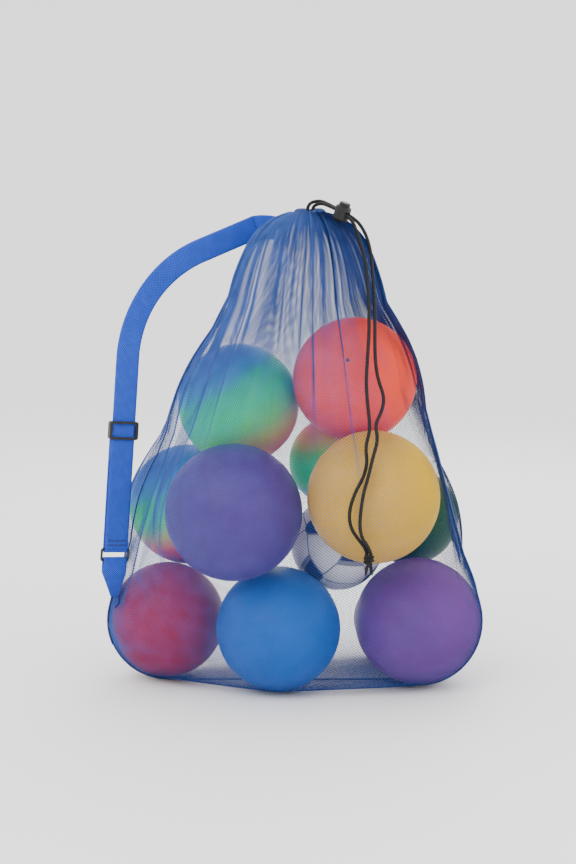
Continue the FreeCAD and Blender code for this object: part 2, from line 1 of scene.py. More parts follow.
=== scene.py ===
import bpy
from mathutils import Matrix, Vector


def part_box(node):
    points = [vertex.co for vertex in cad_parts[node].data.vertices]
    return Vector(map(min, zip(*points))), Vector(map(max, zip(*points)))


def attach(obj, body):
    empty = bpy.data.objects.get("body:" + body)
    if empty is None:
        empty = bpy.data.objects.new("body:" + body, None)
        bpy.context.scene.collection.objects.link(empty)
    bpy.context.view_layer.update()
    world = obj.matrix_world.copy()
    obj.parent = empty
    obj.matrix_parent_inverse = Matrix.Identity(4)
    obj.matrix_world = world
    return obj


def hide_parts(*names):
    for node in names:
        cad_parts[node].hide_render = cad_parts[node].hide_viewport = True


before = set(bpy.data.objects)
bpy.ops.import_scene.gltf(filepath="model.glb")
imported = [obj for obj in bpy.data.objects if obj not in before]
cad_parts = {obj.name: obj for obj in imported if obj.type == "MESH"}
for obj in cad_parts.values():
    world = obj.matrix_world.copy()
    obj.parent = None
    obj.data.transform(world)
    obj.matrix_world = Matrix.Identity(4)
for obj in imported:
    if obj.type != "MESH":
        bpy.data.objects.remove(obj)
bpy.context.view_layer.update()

import math

import bmesh
import bpy
import numpy as np
from mathutils import Euler, Matrix, Vector

# Metres throughout, in the CAD's frame: X to the right, Y to the back, Z up.

TAU = 2 * math.pi
BALLS = [
    "coral_ball", "rainbow_ball_upper", "rainbow_ball_left", "purple_ball_front",
    "yellow_ball", "rainbow_ball_back", "soccer_ball", "red_ball",
    "blue_ball", "purple_ball_right", "violet_ball", "green_ball",
]

# ---- camera, light and floor

TARGET = Vector((0, 0, 0.385))
DISTANCE = 2.7
ELEVATION = math.radians(7)
LENS_MM = 69.9
SENSOR_MM = 36
SHIFT_X = -0.006944
SHIFT_Y = 0.019676
PAPER = (0.92, 0.92, 0.92)
FLOOR_ROUGHNESS = 0.7
FLOOR_HALF = 30  # half the floor's width
COVE_START = 9  # from the middle of the floor to where it begins to curve up
COVE_BEND = 4
COVE_RISE = 14
WORLD_STRENGTH = 2.1


def camera():
    data = bpy.data.cameras.new("camera")
    data.lens = LENS_MM
    data.sensor_width = SENSOR_MM
    data.shift_x = SHIFT_X
    data.shift_y = SHIFT_Y
    obj = bpy.data.objects.new("camera", data)
    back = Vector((0, -math.cos(ELEVATION), math.sin(ELEVATION)))
    obj.location = TARGET + back * DISTANCE
    obj.rotation_euler = (-back).to_track_quat("-Z", "Y").to_euler()
    bpy.context.collection.objects.link(obj)
    bpy.context.scene.camera = obj


def area_light(name, place, width, power):
    data = bpy.data.lights.new(name, "AREA")
    data.shape = "DISK"
    data.size = width
    data.energy = power
    obj = bpy.data.objects.new(name, data)
    obj.location = place
    obj.rotation_euler = (TARGET - Vector(place)).to_track_quat("-Z", "Y").to_euler()
    obj.visible_camera = False
    bpy.context.collection.objects.link(obj)


def surroundings():
    area_light("key_light", (-1.5, -2.6, 2.6), 2.2, 60)
    area_light("fill_light", (2.4, -1.9, 1.5), 2.6, 26)
    area_light("rim_light", (0.6, 2.4, 2.2), 2.4, 34)
    world = bpy.data.worlds.new("studio")
    world.use_nodes = True
    background = world.node_tree.nodes["Background"]
    background.inputs["Color"].default_value = (1, 1, 1, 1)
    background.inputs["Strength"].default_value = WORLD_STRENGTH
    bpy.context.scene.world = world
    cove()


def cove():
    """A pale floor that curves up far behind and far in front, so that no edge shows."""
    turns = np.linspace(0, math.pi / 2, 24)
    back = [(COVE_START + COVE_BEND * math.sin(t), COVE_BEND * (1 - math.cos(t))) for t in turns]
    back.append((COVE_START + COVE_BEND, COVE_RISE))
    profile = [(-y, z) for y, z in reversed(back)] + back
    points = [(x, y, z) for y, z in profile for x in (-FLOOR_HALF, FLOOR_HALF)]
    material = Nodes("floor_paint", PAPER, FLOOR_ROUGHNESS).material
    mesh_object("floor", points, grid_faces(len(profile), 2), material)


# ---- materials


def shade(color, by):
    return tuple(min(1, c * by) for c in color)


class Nodes:
    """A principled material, with a few words for building its node tree."""

    def __init__(self, name, color, roughness, **fixed):
        self.material = bpy.data.materials.new(name)
        self.material.use_nodes = True
        self.tree = self.material.node_tree
        self.shader = self.tree.nodes["Principled BSDF"]
        self.shader.inputs["Base Color"].default_value = (*color, 1)
        self.shader.inputs["Roughness"].default_value = roughness
        for socket, value in fixed.items():
            self.shader.inputs[socket.replace("_", " ")].default_value = value
        self.coords = self.add("ShaderNodeTexCoord")
        self.place = self.coords.outputs["Object"]

    def add(self, kind, inputs=(), **settings):
        node = self.tree.nodes.new(kind)
        for key, value in settings.items():
            setattr(node, key, value)
        for key, value in dict(inputs).items():
            self.put(node.inputs[key], value)
        return node

    def put(self, socket, value):
        if isinstance(value, bpy.types.NodeSocket):
            self.tree.links.new(value, socket)
        else:
            socket.default_value = value

    def math(self, operation, *values, clamp=False):
        node = self.add("ShaderNodeMath", operation=operation, use_clamp=clamp)
        for socket, value in zip(node.inputs, values):
            self.put(socket, value)
        return node.outputs[0]

    def vector(self, operation, *values):
        node = self.add("ShaderNodeVectorMath", operation=operation)
        for socket, value in zip(node.inputs, values):
            self.put(socket, value)
        return node.outputs["Value" if operation == "DOT_PRODUCT" else "Vector"]

    def uv(self):
        node = self.add("ShaderNodeSeparateXYZ", {"Vector": self.coords.outputs["UV"]})
        return node.outputs["X"], node.outputs["Y"]

    def noise(self, scale, detail):
        inputs = {"Vector": self.place, "Scale": scale, "Detail": detail}
        return self.add("ShaderNodeTexNoise", inputs).outputs[0]

    def ramp(self, factor, stops):
        node = self.add("ShaderNodeValToRGB", {"Fac": factor})
        elements = node.color_ramp.elements
        while len(elements) < len(stops):
            elements.new(0.5)
        for element, (position, color) in zip(elements, stops):
            element.position = position
            element.color = (*color, 1)
        return node.outputs["Color"]

    def mix(self, factor, a, b, blend="MIX"):
        node = self.add("ShaderNodeMix", data_type="RGBA", blend_type=blend)
        self.put(node.inputs["Factor"], factor)
        colors = [s for s in node.inputs if s.type == "RGBA"]
        for socket, value in zip(colors, (a, b)):
            self.put(socket, (*value, 1) if isinstance(value, tuple) and len(value) == 3 else value)
        return [s for s in node.outputs if s.type == "RGBA"][0]

    def color(self, value):
        self.put(self.shader.inputs["Base Color"], value)

    def rough(self, value):
        self.put(self.shader.inputs["Roughness"], value)

    def bump(self, height, distance, strength=1.0):
        inputs = {"Height": height, "Distance": distance, "Strength": strength}
        before = self.shader.inputs["Normal"]
        node = self.add("ShaderNodeBump", inputs)
        if before.is_linked:
            self.put(node.inputs["Normal"], before.links[0].from_socket)
        self.put(before, node.outputs["Normal"])

    def varied(self, color, amount, scale):
        """The colour, made a little lighter and darker from place to place."""
        stops = [(0.3, shade(color, 1 - amount)), (0.7, shade(color, 1 + amount))]
        self.color(self.ramp(self.noise(scale, 4), stops))


NET_BLUE = (0.034, 0.072, 0.25)
SEAM_BLUE = (0.006, 0.022, 0.14)
WEB_BLUE = (0.028, 0.078, 0.47)
# painted shade: the patches' webbing blue, a darker copy of the strap's blue
PATCH_SHADED_BLUE = (0.008, 0.035, 0.22)
WARP_PITCH = 0.0019
RIB_PITCH = 0.0036
SEAM_STITCH = 0.0026


def grained(name, color, roughness, spots, grain, gloss=None, **fixed):
    """A plain material with spots (amount, scale), a grain (scale, detail, depth) and an uneven gloss
    (scale, amount, least roughness)."""
    mat = Nodes(name, color, roughness, **fixed)
    mat.varied(color, *spots)
    if gloss:
        mat.rough(mat.math("MULTIPLY_ADD", mat.noise(gloss[0], 4), *gloss[1:]))
    mat.bump(mat.noise(*grain[:2]), grain[2])
    return mat.material


def hem_material():
    mat = Nodes("hem_net", NET_BLUE, 0.6, Specular_IOR_Level=0.3)
    cells = mat.add("ShaderNodeTexVoronoi", {"Vector": mat.place, "Scale": 380.0}).outputs["Distance"]
    # painted shade: the net blue darkens in the pits of the cells, where the bump sinks
    mat.color(mat.ramp(cells, [(0.18, shade(NET_BLUE, 0.35)), (0.42, NET_BLUE)]))
    mat.bump(cells, 0.0006)
    return mat.material


def seam_material():
    """Folded net under overlock stitches that cross it at an even pitch."""
    mat = Nodes("seam_binding", SEAM_BLUE, 0.65, Sheen_Weight=0.3, Sheen_Roughness=0.4)
    across, along = mat.uv()
    slanted = mat.math("MULTIPLY_ADD", across, 0.0012, along)
    stitch = mat.math("SINE", mat.math("MULTIPLY", slanted, TAU / SEAM_STITCH))
    mat.color(mat.mix(mat.math("MULTIPLY_ADD", stitch, 0.35, 0.5), SEAM_BLUE, (0.014, 0.06, 0.33)))
    mat.bump(stitch, 0.0003)
    return mat.material


def webbing_material(name, blue):
    """A ribbed weave: fine ribs across the band, and warp yarns at an even pitch along it, with painted
    shade in the grooves and a painted highlight on the crests.
    """
    mat = Nodes(name, blue, 0.55, Specular_IOR_Level=0.06)
    across, along = mat.uv()
    column = mat.math("FLOOR", mat.math("DIVIDE", across, WARP_PITCH))
    shift = mat.math("MULTIPLY", mat.math("MODULO", column, 2.0), math.pi)
    rib = mat.math("SINE", mat.math("ADD", mat.math("MULTIPLY", along, TAU / RIB_PITCH), shift))
    warp = mat.math("SINE", mat.math("MULTIPLY", across, TAU / WARP_PITCH))
    height = mat.math("ADD", mat.math("MULTIPLY", rib, 0.6), mat.math("MULTIPLY", warp, 0.35))
    # painted shade and highlight: a darker copy of the blue in the grooves, a lighter copy on the crests
    stops = [(0.1, shade(blue, 0.36)), (0.75, shade(blue, 1.4))]
    weave = mat.ramp(mat.math("MULTIPLY_ADD", height, 0.5, 0.5), stops)
    worn = mat.ramp(mat.noise(60, 4), [(0.35, (0.88, 0.88, 0.9)), (0.65, (1, 1, 1))])
    mat.color(mat.mix(1.0, weave, worn, "MULTIPLY"))
    mat.bump(height, 0.0004)
    mat.bump(mat.noise(5000, 1), 0.00008)
    return mat.material


def cord_material():
    mat = Nodes("cord_braid", (0.004, 0.004, 0.005), 0.6, Specular_IOR_Level=0.2)
    mat.color(mat.ramp(mat.noise(900, 3), [(0.35, (0.002, 0.002, 0.0024)), (0.65, (0.012, 0.012, 0.014))]))
    mat.bump(mat.noise(4200, 2), 0.0001)
    return mat.material


def plastic_material(name, color):
    gloss = (300, 0.22, 0.3)
    return grained(name, color, 0.42, (0.18, 120), (1900, 3, 0.00005), gloss, Specular_IOR_Level=0.22)


def wire_material(name, color, metallic):
    gloss = (400, 0.3, 0.2)
    return grained(name, color, 0.35, (0.25, 200), (2500, 2, 0.00004), gloss, Metallic=metallic)


def ball_size(name):
    """A ball's centre and radius."""
    low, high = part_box(name)
    centre = (Vector(low) + Vector(high)) / 2
    return centre, max(high[i] - low[i] for i in range(3)) / 2


def ball_material(name, color, roughness, coat, pebble):
    """A vinyl skin with a pebbled grain, mould seams and slight scuffs."""
    gloss = {"Coat_Weight": coat, "Coat_Roughness": 0.25, "Specular_IOR_Level": 0.16}
    mat = Nodes(name + "_vinyl", color, roughness, **gloss)
    mat.place = mat.vector("SUBTRACT", mat.place, tuple(ball_size(name)[0]))
    mat.unit = mat.vector("NORMALIZE", mat.place)
    mat.varied(color, 0.07, 14)
    mat.rough(mat.math("MULTIPLY_ADD", mat.noise(40, 5), 0.16, roughness - 0.08))
    grain = mat.add("ShaderNodeTexVoronoi", {"Vector": mat.place, "Scale": 420.0}).outputs["Distance"]
    mat.bump(grain, pebble)
    for axis in ((0.35, 0.2, 0.91), (0.83, -0.45, -0.33)):
        off = mat.math("ABSOLUTE", mat.vector("DOT_PRODUCT", mat.unit, tuple(Vector(axis).normalized())))
        mat.bump(mat.math("LESS_THAN", off, 0.006), 0.00025, 0.5)
    return mat


RAINBOW = [
    (0.0, (0.006, 0.09, 0.42)),
    (0.13, (0.008, 0.2, 0.62)),
    (0.23, (0.03, 0.42, 0.62)),
    (0.30, (0.006, 0.72, 0.2)),
    (0.48, (0.012, 0.86, 0.17)),
    (0.58, (0.16, 0.8, 0.05)),
    (0.67, (0.62, 0.62, 0.012)),
    (0.76, (0.85, 0.3, 0.006)),
    (0.85, (0.8, 0.06, 0.008)),
    (1.0, (0.5, 0.012, 0.02)),
]


def rainbow_material(name, direction, start, span):
    """Soft swirled bands of colour that run across the ball along one direction."""
    mat = ball_material(name, (0.3, 0.5, 0.3), 0.42, 0.05, 0.00012)
    along = mat.vector("DOT_PRODUCT", mat.unit, tuple(Vector(direction).normalized()))
    swirl = mat.math("SUBTRACT", mat.noise(8, 1.0), 0.5)
    fine = mat.math("SUBTRACT", mat.noise(28, 3), 0.5)
    bent = mat.math("MULTIPLY_ADD", swirl, 0.45, along)
    bent = mat.math("MULTIPLY_ADD", fine, 0.05, bent)
    share = mat.math("DIVIDE", mat.math("SUBTRACT", bent, start), span, clamp=True)
    mat.color(mat.ramp(share, RAINBOW))
    return mat.material


def soccer_directions():
    """The middles of a football's 12 pentagons and 20 hexagons."""
    golden = (1 + math.sqrt(5)) / 2
    fives = []
    sixes = [(x, y, z) for x in (1, -1) for y in (1, -1) for z in (1, -1)]
    for a in (1, -1):
        for b in (golden, -golden):
            fives += [(0, a, b), (a, b, 0), (b, 0, a)]
            sixes += [(0, a / golden, b), (a / golden, b, 0), (b, 0, a / golden)]
    turn = Euler([math.radians(a) for a in (-81.2, 39.6, 113.8)]).to_matrix()
    return [[turn @ Vector(v).normalized() for v in group] for group in (fives, sixes)]


def soccer_material(name):
    """White panels with navy pentagons, and a groove where two panels meet."""
    white = (0.7, 0.7, 0.72)
    mat = ball_material(name, white, 0.4, 0.08, 0.00008)
    near = []
    for group, reach in zip(soccer_directions(), (2.327, 2.267)):
        first = second = 0.0
        for direction in group:
            dot = mat.vector("DOT_PRODUCT", mat.unit, tuple(direction / reach))
            second = mat.math("MAXIMUM", second, mat.math("MINIMUM", first, dot))
            first = mat.math("MAXIMUM", first, dot)
        near += [first, second]
    five, _, six, second = near
    to_pentagon = mat.math("ABSOLUTE", mat.math("SUBTRACT", five, six))
    to_hexagon = mat.math("ABSOLUTE", mat.math("SUBTRACT", mat.math("MAXIMUM", six, five), second))
    edge = mat.math("MINIMUM", to_pentagon, to_hexagon)
    groove = mat.math("LESS_THAN", edge, 0.0045)
    panel = mat.mix(mat.math("GREATER_THAN", five, six), white, (0.006, 0.012, 0.08))
    mat.color(mat.mix(groove, panel, (0.2, 0.2, 0.24)))
    mat.bump(mat.math("MINIMUM", mat.math("MULTIPLY", edge, 90.0), 1.0), 0.0012)
    return mat.material


def paint(name, material):
    mesh = bpy.data.objects[name].data
    if not mesh.materials:
        mesh.materials.append(material)
    for index in range(len(mesh.materials)):
        mesh.materials[index] = material


# ---- mesh helpers


def mesh_object(name, points, faces, material, smooth=True, uv=None):
    """A mesh from an array of points and an array of quads."""
    mesh = bpy.data.meshes.new(name)
    points = np.asarray(points, dtype=np.float32)
    faces = np.asarray(faces, dtype=np.int32)
    mesh.vertices.add(len(points))
    mesh.vertices.foreach_set("co", points.ravel())
    mesh.loops.add(faces.size)
    mesh.loops.foreach_set("vertex_index", faces.ravel())
    mesh.polygons.add(len(faces))
    mesh.polygons.foreach_set("loop_start", np.arange(0, faces.size, faces.shape[1], dtype=np.int32))
    mesh.update(calc_edges=True)
    mesh.polygons.foreach_set("use_smooth", np.full(len(faces), smooth))
    if uv is not None:
        layer = mesh.uv_layers.new(name="UVMap")
        layer.data.foreach_set("uv", np.asarray(uv, dtype=np.float32)[faces.ravel()].ravel())
    mesh.validate()
    mesh.materials.append(material)
    obj = bpy.data.objects.new(name, mesh)
    bpy.context.collection.objects.link(obj)
    return obj


def grid_faces(rows, columns, closed=False):
    """Quads between the points of a grid stored row by row."""
    last = columns if closed else columns - 1
    i, j = np.meshgrid(np.arange(rows - 1), np.arange(last), indexing="ij")
    right = (j + 1) % columns
    low = i * columns
    high = (i + 1) * columns
    return np.stack([low + j, low + right, high + right, high + j], -1).reshape(-1, 4)


def piece(obj, body, slot, *replaced):
    """Says which body the new piece rides on and the CAD nodes it stands for; the slot argument is not
    used.
    """
    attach(obj, body)
    if replaced:
        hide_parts(*replaced)


def grid_uv(across, along):
    """The places on the cloth of a grid's points."""
    return np.stack(np.broadcast_arrays(across[None, :], along[:, None]), -1).reshape(-1, 2)


def unit(vectors):
    return vectors / np.maximum(np.linalg.norm(vectors, axis=-1, keepdims=True), 1e-12)


def ahead_along(line):
    """The direction of travel at each point of a line."""
    return unit(np.gradient(line, axis=0))


def eased(share):
    """A smooth step from 0 to 1."""
    return share**2 * (3 - 2 * share)


def read_at(marks, known, rows):
    """The rows' values at these marks, between the marks where they are known."""
    return np.stack([np.interp(marks, known, column) for column in np.asarray(rows).T], 1)


def run(line):
    """How far along a line each of its points lies."""
    return np.concatenate([[0], np.cumsum(np.linalg.norm(np.diff(line, axis=0), axis=1))])


def resampled(path, step):
    """The same line with evenly spaced points."""
    path = np.asarray(path, float)
    length = run(path)
    marks = np.linspace(0, length[-1], max(2, round(length[-1] / step) + 1))
    return read_at(marks, length, path), marks


def carried_frames(path, start):
    """Two directions square to the path at each point, turned as little as possible."""
    ahead = ahead_along(path)
    side = np.array(start, float)
    sides = []
    for direction in ahead:
        side = side - direction * side.dot(direction)
        side = side / np.linalg.norm(side)
        sides.append(side)
    sides = np.array(sides)
    return sides, np.cross(ahead, sides)


def tube(name, path, radius, material, relief, start=(0, 0, 1), sides=20, step=0.0008, taper=None):
    """A closed round tube along a path, with a relief(length, angle) in its surface."""
    path, marks = resampled(path, step)
    first, second = carried_frames(path, start)
    angle = np.linspace(0, TAU, sides, endpoint=False)
    radii = radius + relief(marks[:, None], angle[None, :])
    if taper is not None:
        radii *= taper(marks / marks[-1])[:, None]
    ring = first[:, None] * np.cos(angle)[None, :, None] + second[:, None] * np.sin(angle)[None, :, None]
    points = (path[:, None] + ring * radii[..., None]).reshape(-1, 3)
    faces = grid_faces(len(path), sides, closed=True)
    points = np.vstack([points, path[0], path[-1]])
    uv = np.vstack([grid_uv(angle / TAU, marks), [[0, 0], [0, marks[-1]]]])
    obj = mesh_object(name, points, faces, material, uv=uv)
    close_ends(obj, len(path), sides)
    return obj


def close_ends(obj, rows, sides):
    """Adds the two end caps of a tube whose last two points are the caps' middles."""
    bm = bmesh.new()
    bm.from_mesh(obj.data)
    bm.verts.ensure_lookup_table()
    for row, tip in ((0, rows * sides), (rows - 1, rows * sides + 1)):
        for k in range(sides):
            corners = [bm.verts[row * sides + k], bm.verts[row * sides + (k + 1) % sides], bm.verts[tip]]
            if row == 0:
                corners.reverse()
            bm.faces.new(corners).smooth = True
    bm.normal_update()
    bm.to_mesh(obj.data)
    bm.free()


def braid(marks, angle):
    """The relief of a braided sheath: two crossing sets of strands."""
    strands = 6
    pitch = 0.00375
    height = 0.00022
    one = np.sin(strands * angle + TAU * marks / pitch)
    two = np.sin(strands * angle - TAU * marks / pitch)
    return height * (np.maximum(one, two) - 0.8)


def overcast(marks, angle):
    """The relief of thread wound round an edge."""
    pitch = 0.0016
    height = 0.0002
    return height * np.sin(marks / pitch * TAU + angle)


def frayed(share):
    """A cord's thickness, which narrows over the last stretch before its end."""
    last = 0.07
    return np.where(share > 1 - last, 1 - 0.45 * (share - 1 + last) / last, 1.0)


# ---- the drawstring

CORD_RADIUS = 0.00275
TAIL_LEFT = [
    (0.0292, -0.0222, 0.762), (0.029, -0.0225, 0.77), (0.037, -0.028, 0.775), (0.049, -0.033, 0.775),
    (0.089, -0.066, 0.753), (0.098, -0.071, 0.727), (0.108, -0.079, 0.696), (0.112, -0.095, 0.663),
    (0.114, -0.1125, 0.627), (0.114, -0.1355, 0.583), (0.111, -0.1535, 0.545), (0.108, -0.1705, 0.507),
    (0.11, -0.1825, 0.474), (0.114, -0.1955, 0.439), (0.106, -0.2045, 0.413), (0.109, -0.2115, 0.391),
    (0.103, -0.2155, 0.368), (0.09, -0.2225, 0.347), (0.081, -0.2265, 0.318), (0.084, -0.227, 0.294),
    (0.097, -0.223, 0.275), (0.107, -0.215, 0.262), (0.109, -0.212, 0.252),
]
TAIL_RIGHT = [
    (0.0208, -0.0222, 0.762), (0.021, -0.021, 0.771), (0.028, -0.018, 0.778), (0.041, -0.02, 0.78),
    (0.053, -0.028, 0.775), (0.093, -0.061, 0.753), (0.108, -0.062, 0.735), (0.118, -0.066, 0.708),
    (0.121, -0.083, 0.671), (0.123, -0.1075, 0.628), (0.123, -0.1315, 0.585), (0.122, -0.1515, 0.543),
    (0.126, -0.1635, 0.511), (0.136, -0.1725, 0.484), (0.131, -0.1845, 0.463), (0.121, -0.1935, 0.446),
    (0.125, -0.2025, 0.423), (0.117, -0.2145, 0.399), (0.11, -0.2225, 0.371), (0.102, -0.2295, 0.345),
    (0.097, -0.2315, 0.307), (0.099, -0.231, 0.282), (0.111, -0.222, 0.265), (0.115, -0.212, 0.252),
]
KNOT = Vector((0.112, -0.212, 0.2515))
WRAP_END = [(-0.0032, -0.001, -0.0165), (-0.0034, -0.001, -0.024), (-0.0052, -0.0015, -0.03)]
CORE = [
    (0.003, 0, 0.0004), (0.0012, 0, -0.004), (0.0004, 0.0004, -0.009),
    (0.0026, 0.0006, -0.016), (0.0034, 0.0004, -0.023), (0.0046, 0, -0.03),
]


def smooth_line(points):
    """Points read from the smooth curve that has these points as its control points."""
    data = bpy.data.curves.new("route", "CURVE")
    data.dimensions = "3D"
    data.resolution_u = 24
    spline = data.splines.new("NURBS")
    spline.points.add(len(points) - 1)
    for target, point in zip(spline.points, points):
        target.co = (*point, 1)
    spline.order_u = 3
    spline.use_endpoint_u = True
    obj = bpy.data.objects.new("route", data)
    mesh = bpy.data.meshes.new_from_object(obj)
    line = [tuple(v.co) for v in mesh.vertices]
    bpy.data.objects.remove(obj)
    bpy.data.meshes.remove(mesh)
    return line


def knot_pieces(material):
    """One end wound round the other, with both ends hanging out below."""
    turns = 2.35
    reach = 0.0053
    wound = []
    for share in np.linspace(0, 1, 91):
        angle = math.pi + TAU * turns * share
        swell = reach * (1 + 0.12 * math.sin(5 * angle))
        drop = -0.0005 - 0.0125 * share
        wound.append(KNOT + Vector((swell * math.cos(angle), swell * math.sin(angle), drop)))
    wound[0] = KNOT + Vector((-0.003, 0, 0.0004))
    wound += [KNOT + Vector(below) for below in WRAP_END]
    core = [KNOT + Vector(below) for below in CORE]
    made = []
    for name, points in (("knot_wrap", wound), ("knot_core", core)):
        line = smooth_line(points)
        obj = tube(name, line, 0.0026, material, braid, start=(0, 1, 0), step=0.0006, taper=frayed)
        piece(obj, "bag", "cord")
        made.append(obj)
    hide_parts("end_knot")
    return made


def drawstring():
    """Both free ends of the cord and the knot, and the cord's material on its loop."""
    material = cord_material()
    knot = knot_pieces(material)
    lock = ["cord_lock_body", "cord_lock_button", "cord_lock_spring"]
    ends = (("drawstring_left", TAIL_LEFT, knot + lock), ("drawstring_right", TAIL_RIGHT, []))
    for name, points, riders in ends:
        line = smooth_line(points)
        obj = tube(name, line, CORD_RADIUS - 0.00005, material, braid, start=(0, 1, 0))
        piece(obj, "bag", "cord", name.replace("drawstring", "cord_tail"))
    paint("drawstring_loop", material)


# ---- the shape that the net is stretched over

NET_OFFSET = 0.0022  # from a ball's surface to the net
SHOULDER = (0.022, -0.005, 0.660, 0.103)  # centre and radius of the round top under the mouth
MOUTH = np.array([0.025, -0.005])
MOUTH_RADIUS = 0.0262
SEAM_Y = 0.020
CORNER = 0.060  # height at which the underside meets the upright wrap
NECK_LOW = 0.70  # the last outline below the shoulder's curve, and the first one on it
NECK_HIGH = 0.704
HEADINGS = np.radians(np.arange(0, 360, 3))
TILTS = np.radians(np.arange(-87, 88, 3))
COLUMNS = 181
ROWS = 241


def wrapped():
    """Centre and radius of everything that the net is stretched over."""
    spheres = []
    for name in BALLS:
        centre, radius = ball_size(name)
        spheres.append((*centre, radius))
    return np.array(spheres + [SHOULDER])


def reach_table(spheres):
    """How far the wrap reaches in each direction."""
    tilt, heading = np.meshgrid(TILTS, HEADINGS, indexing="ij")
    out = np.stack([np.cos(tilt) * np.cos(heading), np.cos(tilt) * np.sin(heading), np.sin(tilt)], -1)
    return (out @ spheres[:, :3].T + spheres[:, 3]).max(-1) + NET_OFFSET, out


def outline(reach, height, angles):
    """Points of the wrap's outline at one height, in the given directions from its middle."""
    span = ((reach - height * np.sin(TILTS)[:, None]) / np.cos(TILTS)[:, None]).min(0)
    share = height / SHOULDER[2]
    middle = np.array([SHOULDER[0] * share, SEAM_Y + (SHOULDER[1] - SEAM_Y) * share])
    offset = middle[0] * np.cos(HEADINGS) + middle[1] * np.sin(HEADINGS)
    facing = np.cos(HEADINGS[None, :] - angles[:, None])
    distance = np.where(facing > 0.15, (span - offset)[None, :] / np.maximum(facing, 0.15), 9).min(1)
    return middle + np.stack([distance * np.cos(angles), distance * np.sin(angles)], -1)


def arcs(points, columns):
    """Splits an outline at the seam plane and spaces each half evenly: first the front, then the back."""
    y = points[:, 1] - SEAM_Y
    cuts = []
    for k in range(len(points)):
        following = (k + 1) % len(points)
        if (y[k] > 0) != (y[following] > 0):
            share = y[k] / (y[k] - y[following])
            cuts.append((points[k] + (points[following] - points[k]) * share, k))
    left, right = sorted(cuts, key=lambda cut: cut[0][0])
    halves = []
    for (begin, k0), (end, k1) in ((left, right), (right, left)):
        inside = np.roll(points, -k0 - 1, 0)[:(k1 - k0) % len(points)]
        line = np.vstack([begin, inside, end])
        length = run(line)
        marks = np.linspace(0, length[-1], columns)
        halves.append(read_at(marks, length, line))
    return halves


def under_side(reach, out, xy):
    """The height of the wrap's lower side at each place on the floor plan."""
    low = out[..., 2] < -0.05
    normals = out[low]
    limit = reach[low]
    return ((xy @ normals[:, :2].T - limit) / -normals[:, 2]).max(-1)


def bottom_rows(reach, out, ring):
    """Rows of one half's underside, from the bottom seam out to the ring above it."""
    ends = ring[0], ring[-1]
    x = np.linspace(ends[0][0], ends[1][0], 400)
    seam = np.stack([x, np.full_like(x, SEAM_Y)], 1)
    height = np.minimum(under_side(reach, out, seam), CORNER)
    length = run(np.column_stack([x, height]))
    marks = np.linspace(0, length[-1], len(ring))
    base = np.stack([np.interp(marks, length, x), np.full(len(ring), SEAM_Y)], 1)
    rows = []
    for share in 1 - (1 - np.linspace(0, 1, 40)[:-1]) ** 1.6:
        xy = base + (ring - base) * share
        z = np.clip(under_side(reach, out, xy), 0.0006, CORNER)
        rows.append(np.column_stack([xy, z]))
    return rows


def net_table():
    """Where each part of the cloth lies before it is pleated, by row and by column round the bag."""
    spheres = wrapped()
    reach, out = reach_table(spheres)
    angles = np.radians(np.arange(-180, 180, 1.0)) + 1e-4
    radius = SHOULDER[3] + NET_OFFSET
    first = math.asin((NECK_HIGH - SHOULDER[2]) / radius)
    last = math.acos(MOUTH_RADIUS / radius)
    lower = np.linspace(CORNER, NECK_LOW, 110)
    upper = SHOULDER[2] + radius * np.sin(np.linspace(first, last, 24))
    halves = ([], [])
    for number, height in enumerate([*lower, *upper]):
        for half, line in zip(halves, arcs(outline(reach, height, angles), COLUMNS)):
            if number == 0:
                half.extend(bottom_rows(reach, out, line))
            half.append(np.column_stack([line, np.full(COLUMNS, height)]))
    front, back = [even_rows(cling(np.array(half), spheres)) for half in halves]
    return np.concatenate([front[:, :-1], back[:, :-1]], 1)


def even_rows(half):
    """The same cloth with its rows evenly spaced up each column."""
    columns = []
    for column in range(COLUMNS):
        line = half[:, column]
        length = run(line)
        columns.append(read_at(np.linspace(0, length[-1], ROWS), length, line))
    return np.stack(columns, 1)


def cling(points, spheres):
    """Draws the net a little towards the balls where it bridges a gap between them."""
    away = np.linalg.norm(points[..., None, :] - spheres[:, :3], axis=-1)
    gap = (away - spheres[:, 3]).min(-1) - NET_OFFSET
    pull = np.minimum(0.3 * np.maximum(gap, 0), 0.010) * np.clip((points[..., 2] - 0.01) / 0.05, 0, 1)
    middle = np.zeros_like(points)
    middle[..., 1] = SEAM_Y
    middle[..., 2] = points[..., 2]
    return points + unit(middle - points) * pull[..., None]


# ---- the net

CELLS_ROUND = 600
CELLS_UP = 400
YARN = 0.00062  # width of one yarn


def pleat_plan(count, seed, deepest, highest, marked):
    """Where each pleat is round the cloth, how deep it folds and how far up it starts."""
    rng = np.random.default_rng(seed)
    places = (np.arange(count) + rng.uniform(-0.42, 0.42, count)) / count
    depth = rng.uniform(0.3, deepest, count)
    start = rng.uniform(0.42, highest, count)
    for place, begins, fold in marked:
        nearest = int(np.argmin(np.abs(places - place)))
        places[nearest] = place
        start[nearest] = begins
        depth[nearest] = fold
    return places, depth, start


# Long pleats: place round the cloth, where it starts up the cloth, and how deep it folds.
LONG_FINE_PLEATS = [(0.30, 0.45, 2.2), (0.34, 0.5, 2.2), (0.53, 0.2, 2.0), (0.97, 0.2, 2.0)]
LONG_WIDE_PLEATS = [
    (0.036, 0.12, 3.4), (0.095, 0.30, 2.8), (0.30, 0.50, 2.4), (0.425, 0.22, 2.8), (0.475, 0.10, 3.2),
]
FINE_PLEATS = pleat_plan(62, 11, 2.0, 0.9, LONG_FINE_PLEATS)
WIDE_PLEATS = pleat_plan(19, 5, 2.6, 0.8, LONG_WIDE_PLEATS)


def pleat_phase(c, places):
    """Places round the cloth, counted in pleats; with the pleats' places and numbers."""
    numbers = np.arange(-1, len(places) + 1)
    knots = np.concatenate([places[-1:] - 1, places, places[:1] + 1])
    return np.interp(c, knots, numbers), knots, numbers


